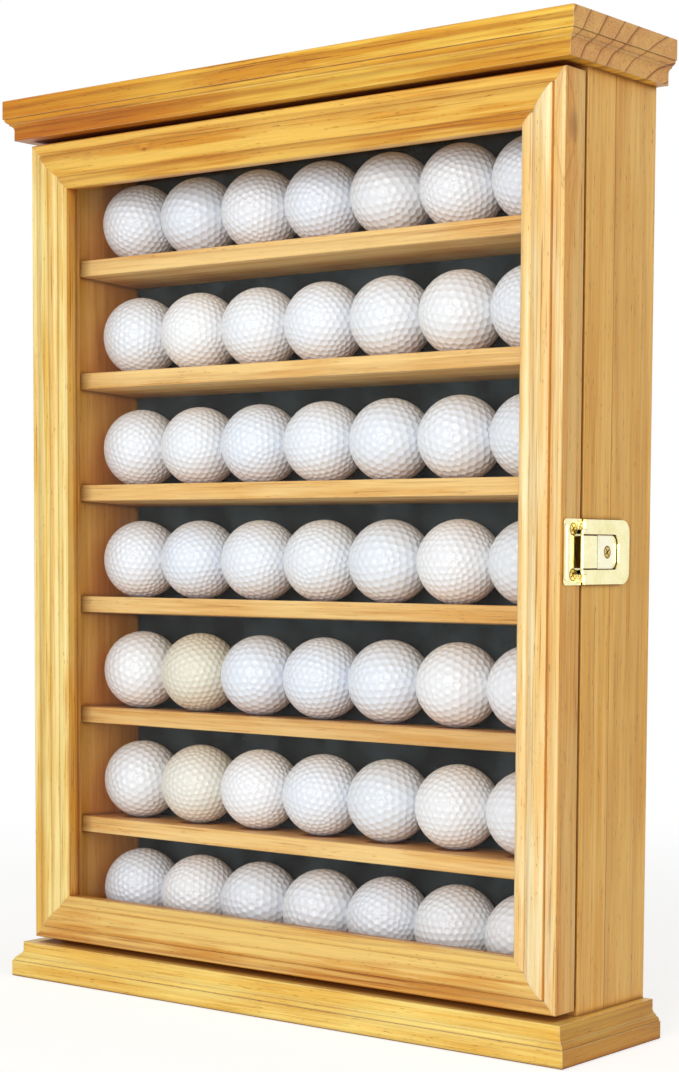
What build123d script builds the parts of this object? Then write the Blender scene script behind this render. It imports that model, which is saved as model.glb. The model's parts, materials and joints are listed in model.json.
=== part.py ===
# Wall or table display case for golf balls: a moulded crown and base, seven bays of seven balls,
# and a glazed, mitred door that is hinged on the left and latched on the right.
# Millimetres, +Z up, front towards -Y. The origin is under the middle of the overall outline.
import os

from build123d import *

os.makedirs("parts", exist_ok=True)

# Balls
ball_diameter = 42.67
balls_per_row = 7
ball_gap = 0.3  # between neighbours in a row
row_shift = -3.4  # the rows stand nearer the left side than the right
ball_seat_gap = 0.1  # under and behind each ball
trough_depth = 0.8  # shallow groove along the floor, in which the lowest row stands
trough_radius = 23.0

# Case
case_width = 342.0
case_depth = 60.0
case_height = 437.0
side_thickness = 15.0
shelf_count = 6
shelf_thickness = 8.7
shelf_setback = 1.9  # shelf fronts lie behind the front edges of the sides
shelf_fall = 2.4  # back of each shelf lower than its front, so its balls rest against the lining
housing_depth = 3.0  # grooves in the sides that hold the shelf ends
floor_thickness = 8.8
ceiling_thickness = 10.6
back_inset = 6.6  # back panel in front of the back edges of the sides
back_thickness = 4.0
back_rebate = 3.0
lining_thickness = 1.2
edge_round = 0.6

# Crown and base boards
crown_width = 364.0
crown_depth = 90.0
crown_thickness = 21.0
crown_fascia = 9.8
base_width = 362.0
base_depth = 87.5
base_thickness = 19.0
base_fascia = 8.6
quirk = 0.7  # small flat step between two mouldings
bead_width = 1.8
bead_height = 2.4
cove_width = 2.0
cove_height = 2.3
fillet_height = 0.8  # upright face between bead and cove

# Door
door_gap = 2.5  # filled by the two hinge leaves
door_thickness = 17.0
door_top_gap = 2.5
door_bottom_gap = 3.0
frame_width = 24.5
outer_strip = 6.2  # nearly flat strip along the outer edge
strip_fall = 0.9  # strip lower at its inner side
groove_width = 0.5
groove_sink = 0.4
band_step = 0.4  # band above the strip's outer edge where it starts
band_rise = 1.3  # crest of the band above the strip's outer edge
band_crest = 9.5  # from the outer edge of the frame
band_bow = 0.8
quirk_drop = 1.6  # bottom of the line between band and inner bead
bead_band = 6.6  # rounded inner bead next to the glass
bead_step = 0.3
bead_bow = 1.5
bead_drop = 2.5
glass_rebate_width = 5.0
glass_rebate_depth = 8.0
glass_thickness = 2.0
glass_clearance = 0.4
strip_width = 2.5
strip_height = 3.0
seat_clearance = 0.1

# Hinges
hinge_height = 34.0
hinge_leaf_width = 14.0
hinge_leaf_thickness = 1.15
hinge_knuckle_radius = 2.3
hinge_pin_radius = 1.0
hinge_stand_off = 0.3  # knuckle clear of the wood
hinge_inset = 55.0  # hinge centre from the door's end
leaf_screw_inset = 6.3  # from the outer edge of the leaf
leaf_screw_spacing = 20.4
knuckle_gap = 0.2
pin_clearance = 0.05

# Latch
latch_height = 236.0
latch_thickness = 1.0
plate_length = 14.9
plate_height = 30.5
plate_setback = 0.4  # plate behind the door's back face
plate_screw_spacing = 21.0
lip_height = 1.6
lip_length = 25.0
lip_width = 1.3
pivot_height = 2.7  # pivot axis above the face of the plate
pivot_depth = 2.0  # pivot axis in front of the door's back face
link_offset = 1.3  # link axis in front of the pivot axis
pivot_radius = 0.7
plate_ear_radius = 1.3
plate_ear_width = 3.5
lever_ear_width = 2.0
lever_ear_root = 2.0  # length along the lever that each ear grows from
pin_bite = 0.9  # how far each pin goes into an ear of the lever
ear_gap = 0.2
lever_thickness = 1.2
lever_height = 30.0
lever_rise = 1.4  # lever clear of the side of the case
lever_reach = 39.1
lever_end_bar = 9.0
lever_corner = 6.0
link_height = 15.0
link_thickness = 0.8
link_reach = 15.4
link_pin_radius = 0.45
link_eye_radius = 0.9
window_clearance = 0.7
keeper_length = 17.5
keeper_height = 15.6
keeper_thickness = 1.2
keeper_lip = 0.8
keeper_gap = 0.4
keeper_corner = 4.0
keeper_screw_inset = 9.6  # from the keeper's front edge

# Hangers let into the back edges of the sides
hanger_width = 11.0
hanger_height = 40.0
hanger_thickness = 1.5
hanger_drop = 34.0  # round hole below the top of the sides
hanger_hole_radius = 4.0
hanger_slot_radius = 2.1
hanger_slot_rise = 9.0
hanger_pocket_depth = 9.0
hanger_screw_spacing = 31.0
hanger_screw_shift = 4.0

# Screws and brads
screw_clearance = 0.05
back_screw_line = 25.0  # screws through the crown and base, from the back of the case
front_screw_line = 46.8
crown_screw_spread = 231.0  # between left and right screws
floor_screw_spread = 152.0
slot_share = 0.2  # driver slot, as a share of the head's radius
small_head_radius = 2.0
small_shank_radius = 1.0
small_screw_length = 9.0
latch_head_radius = 3.0
latch_shank_radius = 1.4
board_head_radius = 3.4
board_shank_radius = 1.7
crown_screw_bite = 12.6
base_screw_bite = 20.0
floor_screw_bite = 5.6
brad_radius = 0.8
brad_head_radius = 1.3
brad_head_height = 0.6
brad_length = 14.0

# Places that follow from the sizes above
back_y = crown_depth / 2
inner_width = case_width - 2 * side_thickness
case_top = base_thickness + case_height
bay_height = (
    case_height - floor_thickness - ceiling_thickness - shelf_count * shelf_thickness
) / (shelf_count + 1)
bay_pitch = bay_height + shelf_thickness
floor_top = base_thickness + floor_thickness
ceiling_bottom = case_top - ceiling_thickness
back_front = back_inset + back_thickness
lining_front = back_front + lining_thickness
shelf_front = case_depth - shelf_setback
shelf_slope = shelf_fall / (shelf_front - lining_front)
shelf_cosine = 1 / (1 + shelf_slope**2) ** 0.5
door_back = case_depth + door_gap
door_bottom = base_thickness + door_bottom_gap
door_top = case_top - door_top_gap
ball_radius = ball_diameter / 2
ball_depth = lining_front + ball_seat_gap + ball_radius
side_x = case_width / 2
hinge_x = -side_x - hinge_knuckle_radius - hinge_stand_off
hinge_depth = case_depth + door_gap / 2
hinge_heights = (door_bottom + hinge_inset, door_top - hinge_inset)
plate_face = side_x + latch_thickness
pivot_x = plate_face + pivot_height
pivot_d = door_back + pivot_depth
link_d = pivot_d + link_offset
hanger_x = side_x - hanger_width / 2 - (side_thickness - back_rebate - hanger_width) / 2
hanger_z = case_top - hanger_drop
link_end_d = link_d - link_reach
keeper_front = link_end_d - keeper_gap


def y_of(depth):
    # Y of a point that lies this far in front of the flat back
    return back_y - depth


def save(piece, name):
    piece.label = name
    export_step(piece, f"parts/{name}.step")


def block(x_range, depth_range, z_range, mode=Mode.ADD):
    # A box between two X values, two depths from the back and two heights
    spans = [abs(b - a) for a, b in (x_range, depth_range, z_range)]
    middle = [(a + b) / 2 for a, b in (x_range, depth_range, z_range)]
    with Locations((middle[0], y_of(middle[1]), middle[2])):
        Box(*spans, mode=mode)


def bowed(start, end, bow, place):
    # An arc between two profile points that swells to one side by bow; place maps it to the sketch
    run = (end[0] - start[0], end[1] - start[1])
    length = (run[0] ** 2 + run[1] ** 2) ** 0.5
    mid = (
        (start[0] + end[0]) / 2 - run[1] / length * bow,
        (start[1] + end[1]) / 2 + run[0] / length * bow,
    )
    ThreePointArc(place(*start), place(*mid), place(*end))


def wood_screw(head, shank, length, clearance=0.0, crossed=True):
    # A countersunk screw that points down from its flat head at the origin
    cone = head - shank
    tip = 2 * shank
    with BuildPart() as screw:
        with BuildSketch(Plane.XZ):
            with BuildLine():
                Polyline(
                    (0, 0),
                    (head + clearance, 0),
                    (shank + clearance, -cone),
                    (shank + clearance, tip - length),
                    (0.2 * shank + clearance, -length - clearance),
                    (0, -length - clearance),
                    close=True,
                )
            make_face()
        revolve(axis=Axis.Z)
        if crossed:
            for turn in (35, 125):
                with Locations(Location((0, 0, 0), (0, 0, turn))):
                    Box(1.3 * head, slot_share * head, 0.8 * cone, mode=Mode.SUBTRACT)
    return screw.part


def place_all(shape, places, turn, mode=Mode.ADD):
    # The same shape at several points, all turned the same way
    with Locations(*[Location(place) * turn for place in places]):
        add(shape, mode=mode)


towards_back = Rotation(90, 0, 0)
towards_front = Rotation(-90, 0, 0)
into_right_side = Rotation(0, 90, 0)
upwards = Rotation(180, 0, 0)

small_screw = wood_screw(small_head_radius, small_shank_radius, small_screw_length)
small_hole = wood_screw(
    small_head_radius, small_shank_radius, small_screw_length, screw_clearance, False
)
latch_screw = wood_screw(latch_head_radius, latch_shank_radius, small_screw_length)
latch_hole = wood_screw(
    latch_head_radius, latch_shank_radius, small_screw_length, screw_clearance, False
)
crown_screw_length = ceiling_thickness + crown_screw_bite
base_screw_length = base_thickness + base_screw_bite
floor_screw_length = base_thickness + floor_screw_bite

screw_lines = (back_screw_line, front_screw_line)
# The base's side screws stand in the middle of the strip where the board meets a side
moulding_width = quirk + bead_width + cove_width
strip_outer = min(side_x, base_width / 2 - moulding_width)
side_screw_x = (inner_width / 2 + strip_outer) / 2

crown_screw_places = [
    (side * crown_screw_spread / 2, y_of(line), ceiling_bottom)
    for side in (-1, 1)
    for line in screw_lines
]
base_screw_places = [
    (side * side_screw_x, y_of(line), 0) for side in (-1, 1) for line in screw_lines
]
floor_screw_places = [
    (side * floor_screw_spread / 2, y_of(case_depth / 2), 0) for side in (-1, 1)
]


# Crown and base


def board_edge(outer, level, side, rise, fascia, thickness):
    # The moulded edge from the board's wide face to its narrow one: fascia, bead and cove.
    # Inset runs in from the edge and drop runs from the wide face towards the narrow one.
    def at(inset, drop):
        return (outer - side * inset, level + rise * drop)

    bead_start = (quirk, fascia)
    bead_end = (quirk + bead_width, fascia + bead_height)
    cove_start = (bead_end[0], bead_end[1] + fillet_height)
    cove_end = (cove_start[0] + cove_width, cove_start[1] + cove_height)
    bowed((edge_round, 0), (0, edge_round), 0.2 * edge_round, at)
    Polyline(at(0, edge_round), at(0, fascia), at(*bead_start))
    bowed(bead_start, bead_end, 0.25 * bead_height, at)
    Line(at(*bead_end), at(*cove_start))
    bowed(cove_start, cove_end, -0.2 * cove_height, at)
    Line(at(*cove_end), at(cove_end[0], thickness))
    return at(edge_round, 0), at(cove_end[0], thickness)


def moulded_board(width, depth, thickness, fascia, wide_face, rise):
    # The front moulding and the end mouldings are the same section, so they meet in a mitre
    narrow_face = wide_face + rise * thickness
    with BuildPart() as board:
        with BuildSketch(Plane.YZ):
            with BuildLine():
                first, last = board_edge(
                    y_of(depth), wide_face, -1, rise, fascia, thickness
                )
                Polyline(last, (back_y, narrow_face), (back_y, wide_face), first)
            make_face()
        extrude(amount=width / 2, both=True)
        with BuildSketch(Plane.XZ):
            with BuildLine():
                right = board_edge(width / 2, wide_face, 1, rise, fascia, thickness)
                left = board_edge(-width / 2, wide_face, -1, rise, fascia, thickness)
                Line(right[1], left[1])
                Line(left[0], right[0])
            make_face()
        extrude(amount=crown_depth, both=True, mode=Mode.INTERSECT)
    return board


overall_height = case_top + crown_thickness
crown = moulded_board(
    crown_width, crown_depth, crown_thickness, crown_fascia, overall_height, -1
)
crown_hole = wood_screw(
    board_head_radius, board_shank_radius, crown_screw_length, screw_clearance, False
)
with crown:
    place_all(crown_hole, crown_screw_places, upwards, Mode.SUBTRACT)
save(crown.part, "crown_board")

base_hole = wood_screw(
    board_head_radius, board_shank_radius, base_screw_length, screw_clearance, False
)
floor_hole = wood_screw(
    board_head_radius, board_shank_radius, floor_screw_length, screw_clearance, False
)
base = moulded_board(base_width, base_depth, base_thickness, base_fascia, 0, 1)
with base:
    place_all(base_hole, base_screw_places, upwards, Mode.SUBTRACT)
    place_all(floor_hole, floor_screw_places, upwards, Mode.SUBTRACT)
save(base.part, "base_board")


# Screws through the crown and base


def screw_group(name, sets, turn):
    # Screws of one or more sizes, kept as separate solids in one piece
    with BuildPart() as group:
        for shape, places in sets:
            place_all(shape, places, turn)
    save(group.part, name)


crown_screw = wood_screw(board_head_radius, board_shank_radius, crown_screw_length)
base_screw = wood_screw(board_head_radius, board_shank_radius, base_screw_length)
floor_screw = wood_screw(board_head_radius, board_shank_radius, floor_screw_length)
screw_group("crown_screws", [(crown_screw, crown_screw_places)], upwards)
screw_group(
    "base_screws",
    [(base_screw, base_screw_places), (floor_screw, floor_screw_places)],
    upwards,
)


# Case


def shelf_level(index):
    # Underside of a shelf at its front edge, counted from the lowest
    return floor_top + bay_height + index * bay_pitch


def shelf_section(index, back_depth):
    # Section of a shelf that falls from its squared front edge to an upright back at this depth
    low = (y_of(shelf_front), shelf_level(index))
    high = (
        low[0] + shelf_thickness * shelf_slope * shelf_cosine,
        low[1] + shelf_thickness * shelf_cosine,
    )
    back = y_of(back_depth)
    Polyline(
        low,
        high,
        (back, high[1] - shelf_slope * (back - high[0])),
        (back, low[1] - shelf_slope * (back - low[0])),
        close=True,
    )


def ball_height(index):
    # Centres of a row of balls, counted from the lowest row, which stands on the level floor
    if index == 0:
        return floor_top - trough_depth + ball_seat_gap + ball_radius
    to_centre = shelf_thickness + ball_seat_gap + ball_radius
    fall = shelf_slope * (shelf_front - ball_depth)
    return shelf_level(index - 1) + to_centre / shelf_cosine - fall


def brad_places(side):
    # Heads of the brads along one edge of the back panel, in the middle of every other bay
    x = side * (inner_width + back_rebate) / 2
    middle = floor_top + bay_height / 2
    bays = range(0, shelf_count + 1, 2)
    return [(x, y_of(back_inset), middle + index * bay_pitch) for index in bays]


def brad(clearance=0.0):
    # A flat-headed nail that points down from the origin
    with BuildPart() as nail:
        with BuildSketch():
            Circle(brad_head_radius + clearance)
        extrude(amount=-brad_head_height - clearance)
        with BuildSketch():
            Circle(brad_radius + clearance)
        extrude(amount=-brad_length - clearance)
    return nail.part


def leaf_screw_places(depth):
    # Two screws through each leaf of both hinges
    return [
        (-side_x + leaf_screw_inset, y_of(depth), height + offset)
        for height in hinge_heights
        for offset in (-leaf_screw_spacing / 2, leaf_screw_spacing / 2)
    ]


def hanger_screw_places(side):
    middle = hanger_z + hanger_screw_shift
    return [
        (side * hanger_x, back_y, middle + offset)
        for offset in (-hanger_screw_spacing / 2, hanger_screw_spacing / 2)
    ]


keeper_screw_place = (
    side_x + keeper_thickness,
    y_of(keeper_front - keeper_screw_inset),
    latch_height,
)
case_leaf_face = case_depth + hinge_leaf_thickness
brad_hole = brad(screw_clearance)


def side_panel(side):
    # An upright with a housing for each shelf and a rebate for the back panel
    inner = side * inner_width / 2
    with BuildPart() as panel:
        block((inner, side * side_x), (0, case_depth), (base_thickness, case_top))
        round_edges = panel.edges().filter_by(Axis.Z).group_by(Axis.Y)[0]
        fillet(round_edges, edge_round)
        block(
            (inner, inner + side * back_rebate),
            (0, back_front),
            (base_thickness, case_top),
            Mode.SUBTRACT,
        )
        with BuildSketch(Plane.YZ.offset(inner)):
            for index in range(shelf_count):
                with BuildLine():
                    shelf_section(index, back_front)
                make_face()
        extrude(amount=side * housing_depth, mode=Mode.SUBTRACT)
        hanger_x_range = (
            side * hanger_x - hanger_width / 2,
            side * hanger_x + hanger_width / 2,
        )
        hanger_middle = hanger_z + hanger_screw_shift
        block(
            hanger_x_range,
            (0, hanger_thickness),
            (hanger_middle - hanger_height / 2, hanger_middle + hanger_height / 2),
            Mode.SUBTRACT,
        )
        block(
            (
                side * hanger_x - hanger_hole_radius,
                side * hanger_x + hanger_hole_radius,
            ),
            (0, hanger_pocket_depth),
            (
                hanger_z - hanger_hole_radius,
                hanger_z + hanger_slot_rise + hanger_slot_radius,
            ),
            Mode.SUBTRACT,
        )
        place_all(small_hole, hanger_screw_places(side), towards_front, Mode.SUBTRACT)
        place_all(brad_hole, brad_places(side), towards_front, Mode.SUBTRACT)
        own = [place for place in base_screw_places if place[0] * side > 0]
        place_all(base_hole, own, upwards, Mode.SUBTRACT)
        if side < 0:
            place_all(
                small_hole,
                leaf_screw_places(case_leaf_face),
                towards_back,
                Mode.SUBTRACT,
            )
        else:
            place_all(
                latch_hole, [keeper_screw_place], into_right_side, Mode.SUBTRACT
            )
    return panel.part


save(side_panel(-1), "side_panel_left")
save(side_panel(1), "side_panel_right")


with BuildPart() as top_panel:
    block(
        (-inner_width / 2, inner_width / 2),
        (back_front, shelf_front),
        (ceiling_bottom, case_top),
    )
    place_all(crown_hole, crown_screw_places, upwards, Mode.SUBTRACT)
save(top_panel.part, "top_panel")

with BuildPart() as bottom_panel:
    block(
        (-inner_width / 2, inner_width / 2),
        (back_front, shelf_front),
        (base_thickness, floor_top),
    )
    front = bottom_panel.edges().filter_by(Axis.X).group_by(Axis.Y)[0].sort_by(Axis.Z)
    fillet(front[-1], edge_round)
    with BuildSketch(Plane.YZ) as groove:
        with Locations((y_of(ball_depth), floor_top + trough_radius - trough_depth)):
            Circle(trough_radius)
    extrude(groove.sketch, amount=inner_width, both=True, mode=Mode.SUBTRACT)
    place_all(floor_hole, floor_screw_places, upwards, Mode.SUBTRACT)
save(bottom_panel.part, "bottom_panel")

for index in range(shelf_count):
    with BuildPart() as shelf:
        with BuildSketch(Plane.YZ):
            with BuildLine():
                shelf_section(index, lining_front)
            make_face()
        extrude(amount=inner_width / 2 + housing_depth, both=True)
        fillet(shelf.edges().filter_by(Axis.X).sort_by(Axis.Y)[:2], edge_round)
    save(shelf.part, f"shelf_{index + 1}")

with BuildPart() as back_panel:
    half_back = inner_width / 2 + back_rebate
    block(
        (-half_back, half_back), (back_inset, back_front), (base_thickness, case_top)
    )
    for side in (-1, 1):
        place_all(brad_hole, brad_places(side), towards_front, Mode.SUBTRACT)
save(back_panel.part, "back_panel")

with BuildPart() as back_brads:
    for side in (-1, 1):
        place_all(brad(), brad_places(side), towards_front)
save(back_brads.part, "back_panel_brads")

with BuildPart() as lining:
    block(
        (-inner_width / 2, inner_width / 2),
        (back_front, lining_front),
        (floor_top, ceiling_bottom),
    )
save(lining.part, "back_lining")


# Hangers

for side, name in ((-1, "left"), (1, "right")):
    with BuildPart() as hanger:
        with BuildSketch(Plane.XZ.offset(-back_y)):
            with Locations((side * hanger_x, hanger_z + hanger_screw_shift)):
                Rectangle(hanger_width, hanger_height)
            with Locations((side * hanger_x, hanger_z)):
                Circle(hanger_hole_radius, mode=Mode.SUBTRACT)
            slot_centre = (side * hanger_x, hanger_z + hanger_slot_rise / 2)
            with Locations(Location((*slot_centre, 0), (0, 0, 90))):
                SlotCenterToCenter(
                    hanger_slot_rise, 2 * hanger_slot_radius, mode=Mode.SUBTRACT
                )
        extrude(amount=hanger_thickness)
        place_all(small_hole, hanger_screw_places(side), towards_front, Mode.SUBTRACT)
    save(hanger.part, f"hanger_plate_{name}")

hanger_places = hanger_screw_places(-1) + hanger_screw_places(1)
screw_group("hanger_screws", [(small_screw, hanger_places)], towards_front)


# Door


def frame_section(place):
    # Section of the door frame: run goes in from the outer edge, rise up from the door's back
    corner = 2 * edge_round
    band_start = outer_strip + groove_width
    bead_start = frame_width - bead_band
    strip_low = door_thickness - strip_fall
    quirk_low = door_thickness - quirk_drop
    band_foot = (band_start, door_thickness + band_step)
    crest = (band_crest, door_thickness + band_rise)
    bead_foot = (bead_start + bead_step, quirk_low - bead_step)
    sight_edge = (frame_width, door_thickness - bead_drop)
    Polyline(
        place(0, door_thickness - corner),
        place(0, 0),
        place(frame_width - glass_rebate_width, 0),
        place(frame_width - glass_rebate_width, glass_rebate_depth),
        place(frame_width, glass_rebate_depth),
        place(*sight_edge),
    )
    bowed((0, door_thickness - corner), (corner, door_thickness), 0.2 * corner, place)
    bowed(
        (corner, door_thickness), (outer_strip, strip_low), -0.3 * strip_fall, place
    )
    Polyline(
        place(outer_strip, strip_low),
        place(outer_strip + groove_width / 2, strip_low - groove_sink),
        place(*band_foot),
    )
    bowed(band_foot, crest, 0.2 * band_rise, place)
    bowed(crest, (bead_start, quirk_low), band_bow, place)
    Line(place(bead_start, quirk_low), place(*bead_foot))
    bowed(bead_foot, sight_edge, bead_bow, place)


def stile(side):
    # An upright of the door, cut at 45 degrees at both ends
    edge = side * side_x
    sight = side * (side_x - frame_width)
    with BuildPart() as upright:
        with BuildSketch(Plane.XY.offset(door_bottom)):
            with BuildLine():
                frame_section(
                    lambda run, rise: (edge - side * run, y_of(door_back + rise))
                )
            make_face()
        extrude(amount=door_top - door_bottom)
        with BuildSketch(Plane.XZ):
            Polygon(
                (edge, door_bottom),
                (edge, door_top),
                (sight, door_top - frame_width),
                (sight, door_bottom + frame_width),
                align=None,
            )
        extrude(amount=crown_depth, both=True, mode=Mode.INTERSECT)
        if side < 0:
            place_all(
                small_hole,
                leaf_screw_places(door_back - hinge_leaf_thickness),
                towards_front,
                Mode.SUBTRACT,
            )
        else:
            place_all(
                latch_hole, plate_screw_places, into_right_side, Mode.SUBTRACT
            )
    return upright.part


def rail(side):
    # A cross piece of the door: side 1 at the top, -1 at the bottom
    edge = door_top if side > 0 else door_bottom
    sight = edge - side * frame_width
    half_sight = side_x - frame_width
    with BuildPart() as cross:
        with BuildSketch(Plane.YZ):
            with BuildLine():
                frame_section(
                    lambda run, rise: (y_of(door_back + rise), edge - side * run)
                )
            make_face()
        extrude(amount=side_x, both=True)
        with BuildSketch(Plane.XZ):
            Polygon(
                (-side_x, edge),
                (side_x, edge),
                (half_sight, sight),
                (-half_sight, sight),
                align=None,
            )
        extrude(amount=crown_depth, both=True, mode=Mode.INTERSECT)
    return cross.part


plate_front = door_back - plate_setback + plate_length
screw_d = plate_front - plate_length / 2
plate_screw_places = [
    (plate_face, y_of(screw_d), latch_height + offset)
    for offset in (-plate_screw_spacing / 2, plate_screw_spacing / 2)
]

save(stile(-1), "door_stile_left")
save(stile(1), "door_stile_right")
save(rail(1), "door_rail_top")
save(rail(-1), "door_rail_bottom")

rebate_x = side_x - frame_width + glass_rebate_width
rebate_bottom = door_bottom + frame_width - glass_rebate_width
rebate_top = door_top - frame_width + glass_rebate_width
glass_front = door_back + glass_rebate_depth - seat_clearance
glass_back = glass_front - glass_thickness

with BuildPart() as glass:
    block(
        (-rebate_x + glass_clearance, rebate_x - glass_clearance),
        (glass_back, glass_front),
        (rebate_bottom + glass_clearance, rebate_top - glass_clearance),
    )
save(glass.part, "door_glass")


def glazing_strip(name, horizontal, side):
    # A mitred strip that keeps the glass in its rebate, rounded on its free inner corner
    outer_x = rebate_x - seat_clearance
    inner_x = outer_x - strip_width
    low = rebate_bottom + seat_clearance
    high = rebate_top - seat_clearance
    back = glass_back - strip_height
    with BuildPart() as strip:
        with BuildSketch(Plane.XZ.offset(-y_of(back))):
            if horizontal:
                edge = high if side > 0 else low
                corners = [
                    (-outer_x, edge),
                    (outer_x, edge),
                    (inner_x, edge - side * strip_width),
                    (-inner_x, edge - side * strip_width),
                ]
            else:
                corners = [
                    (side * outer_x, low),
                    (side * outer_x, high),
                    (side * inner_x, high - strip_width),
                    (side * inner_x, low + strip_width),
                ]
            Polygon(*corners, align=None)
        extrude(amount=strip_height)
        inner = strip.faces().sort_by(Axis.Z if horizontal else Axis.X)
        inner_face = inner[0] if side > 0 else inner[-1]
        back_edge = inner_face.edges().sort_by(Axis.Y)[-1]
        fillet(back_edge, 2 * edge_round)
    save(strip.part, name)


glazing_strip("glazing_strip_top", True, 1)
glazing_strip("glazing_strip_bottom", True, -1)
glazing_strip("glazing_strip_left", False, -1)
glazing_strip("glazing_strip_right", False, 1)


# Hinges

knuckle_length = (hinge_height - 2 * knuckle_gap) / 3


def hinge_leaf(name, height, on_case):
    # A leaf in the gap with its knuckles: two outer ones on the case, the middle one on the door
    near = case_depth if on_case else door_back - hinge_leaf_thickness
    far = near + hinge_leaf_thickness
    low = height - hinge_height / 2
    outer = [
        (low, low + knuckle_length),
        (low + 2 * (knuckle_length + knuckle_gap), low + hinge_height),
    ]
    middle = [(low + knuckle_length + knuckle_gap, low + 2 * knuckle_length + knuckle_gap)]
    with BuildPart() as leaf:
        block(
            (-side_x, -side_x + hinge_leaf_width),
            (near, far),
            (low, low + hinge_height),
        )
        corners = leaf.edges().filter_by(Axis.Y).group_by(Axis.X)[-1]
        fillet(corners, edge_round)
        for start, end in outer if on_case else middle:
            block((hinge_x, -side_x), (near, far), (start, end))
            with BuildSketch(Plane.XY.offset(start)):
                with Locations((hinge_x, y_of(hinge_depth))):
                    Circle(hinge_knuckle_radius)
            extrude(amount=end - start)
        with BuildSketch(Plane.XY.offset(low)):
            with Locations((hinge_x, y_of(hinge_depth))):
                Circle(hinge_pin_radius + pin_clearance)
        extrude(amount=hinge_height, mode=Mode.SUBTRACT)
        face = case_leaf_face if on_case else door_back - hinge_leaf_thickness
        turn = towards_back if on_case else towards_front
        place_all(small_hole, leaf_screw_places(face), turn, Mode.SUBTRACT)
    save(leaf.part, name)


def hinge_pin(name, height):
    # A pin with a small button on each end
    low = height - hinge_height / 2
    with BuildPart() as pin:
        with BuildSketch(Plane.XY.offset(low)):
            with Locations((hinge_x, y_of(hinge_depth))):
                Circle(hinge_pin_radius)
        extrude(amount=hinge_height)
        for level, way in ((low, -1), (low + hinge_height, 1)):
            with BuildSketch(Plane.XY.offset(level)):
                with Locations((hinge_x, y_of(hinge_depth))):
                    Circle(0.8 * hinge_knuckle_radius)
            extrude(amount=way * hinge_pin_radius, taper=25)
    save(pin.part, name)


for height, name in zip(hinge_heights, ("lower", "upper")):
    hinge_leaf(f"hinge_case_leaf_{name}", height, True)
    hinge_leaf(f"hinge_door_leaf_{name}", height, False)
    hinge_pin(f"hinge_pin_{name}", height)

screw_group(
    "hinge_case_screws",
    [(small_screw, leaf_screw_places(case_leaf_face))],
    towards_back,
)
screw_group(
    "hinge_door_screws",
    [(small_screw, leaf_screw_places(door_back - hinge_leaf_thickness))],
    towards_front,
)


# Latch

lever_inner = side_x + lever_rise
lever_outer = lever_inner + lever_thickness
window_half = link_height / 2 + window_clearance
lever_ear_top = window_half + lever_ear_width
plate_ear_low = lever_ear_top + ear_gap
plate_ear_top = plate_ear_low + plate_ear_width
lever_front = door_back - plate_setback
lever_back = lever_front - lever_reach
window_reach = lever_reach - lever_end_bar
keeper_back = keeper_front - keeper_length


def disc(x, depth, radius, low, high, mode=Mode.ADD):
    # A round stretch about a vertical axis, with its heights measured from the latch's middle
    with BuildSketch(Plane.XY.offset(latch_height + low)) as outline:
        with Locations((x, y_of(depth))):
            Circle(radius)
    extrude(outline.sketch, amount=high - low, mode=mode)


def both_ways(low, high):
    # The same stretch above and below the latch's middle
    return ((low, high), (-high, -low))


with BuildPart() as latch_plate:
    block(
        (side_x, plate_face),
        (plate_front - plate_length, plate_front),
        (latch_height - plate_height / 2, latch_height + plate_height / 2),
    )
    fillet(latch_plate.edges().filter_by(Axis.X), 2 * edge_round)
    block(
        (plate_face, plate_face + lip_height),
        (plate_front - lip_width, plate_front),
        (latch_height - lip_length / 2, latch_height + lip_length / 2),
    )
    lip_edges = latch_plate.edges().filter_by(Axis.Z).group_by(Axis.X)[-1]
    fillet(lip_edges, 0.9 * edge_round)
    for low, high in both_ways(plate_ear_low, plate_ear_top):
        block(
            (plate_face - latch_thickness / 2, pivot_x),
            (pivot_d - plate_ear_radius, pivot_d + plate_ear_radius),
            (latch_height + low, latch_height + high),
        )
        disc(pivot_x, pivot_d, plate_ear_radius, low, high)
        disc(pivot_x, pivot_d, pivot_radius + pin_clearance, low, high, Mode.SUBTRACT)
    place_all(latch_hole, plate_screw_places, into_right_side, Mode.SUBTRACT)
save(latch_plate.part, "latch_plate")
screw_group("latch_plate_screws", [(latch_screw, plate_screw_places)], into_right_side)

with BuildPart() as lever:
    with BuildSketch(Plane.YZ.offset(lever_inner)):
        with Locations((y_of((lever_front + lever_back) / 2), latch_height)):
            Rectangle(lever_reach, lever_height)
        fillet(vertices().group_by(Axis.X)[-1], lever_corner)
    extrude(amount=lever_thickness)
    # The window's far corners follow the keeper's
    with BuildSketch(Plane.YZ.offset(lever_inner)):
        with Locations((y_of(lever_front - window_reach / 2), latch_height)):
            Rectangle(window_reach, 2 * window_half)
        fillet(vertices().group_by(Axis.X)[-1], keeper_corner + keeper_gap)
    extrude(amount=lever_thickness, mode=Mode.SUBTRACT)
    for low, high in both_ways(window_half, lever_ear_top):
        with BuildSketch(Plane.XY.offset(latch_height + low)):
            with Locations((pivot_x, y_of(pivot_d))):
                Circle(plate_ear_radius)
            with Locations((pivot_x, y_of(link_d))):
                Circle(link_eye_radius)
            root_d = lever_front - lever_ear_root / 2
            with Locations(((lever_inner + lever_outer) / 2, y_of(root_d))):
                Rectangle(lever_thickness, lever_ear_root)
            make_hull()
        extrude(amount=high - low)
    for low, high in both_ways(lever_ear_top - pin_bite, lever_ear_top):
        disc(pivot_x, pivot_d, pivot_radius + pin_clearance, low, high, Mode.SUBTRACT)
    for low, high in both_ways(window_half, window_half + pin_bite):
        disc(pivot_x, link_d, link_pin_radius + pin_clearance, low, high, Mode.SUBTRACT)
save(lever.part, "latch_lever")

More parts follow.
